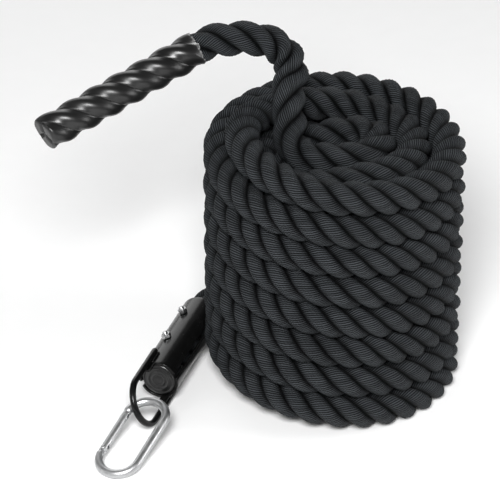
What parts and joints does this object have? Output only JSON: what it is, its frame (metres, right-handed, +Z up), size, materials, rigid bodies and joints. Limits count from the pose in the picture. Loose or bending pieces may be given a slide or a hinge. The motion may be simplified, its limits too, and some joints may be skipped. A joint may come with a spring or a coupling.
{
  "type": "sled pulling rope",
  "caption": "Thick black three-strand pulling rope in an upright coil, with a rubber-sleeved grip end and a bolted end bracket that carries a pull ring and a spring hook.",
  "frame": {"origin": "middle of the whole object's footprint, on the floor", "axes": "+Z up from the floor; +X to the right of the picture, along the longest extent; +Y away from the viewer"},
  "size_m": [0.4787, 0.3886, 0.4051],
  "materials": {
    "rope": "matte black twisted fibre",
    "grip_rubber": "semi-gloss black shrunk sleeve",
    "cap_rubber": "dull dark grey",
    "black_paint": "satin black powder coat",
    "zinc": "bright zinc plating",
    "spring_steel": "plain spring wire"
  },
  "bodies": {
    "rope_and_bracket": {"rope_coil": "rope", "rope_tail": "rope", "rope_free_end": "rope", "rope_end_in_grip": "rope", "rope_end_in_clamp": "rope", "grip_sleeve": "grip_rubber", "rope_end_cap": "cap_rubber", "clamp_shell_upper": "black_paint", "clamp_shell_lower": "black_paint", "pull_ring": "black_paint", "clamp_bolt_front": "zinc", "clamp_bolt_rear": "zinc", "clamp_nut_front": "zinc", "clamp_nut_rear": "zinc"},
    "hook": {"hook_body": "zinc", "gate_rivet": "zinc"},
    "gate": {"hook_gate": "zinc", "gate_latch_pin": "zinc", "gate_spring": "spring_steel", "gate_plunger": "zinc"}
  },
  "joints": [
    {"name": "hook_swing", "type": "hinge", "parent": "rope_and_bracket", "child": "hook", "pos_m": [-0.129, -0.10614, 0.03106], "axis": [0.377, -0.1545, -0.9132], "range_deg": [-110, 90]},
    {"name": "gate_opening", "type": "hinge", "parent": "hook", "child": "gate", "pos_m": [-0.16476, -0.15166, 0.01286], "axis": [0.157, 0.2459, -0.9565], "range_deg": [0, 25], "stiffness_Nm_per_rad": 0.15, "springref_deg": -17.19}
  ]
}
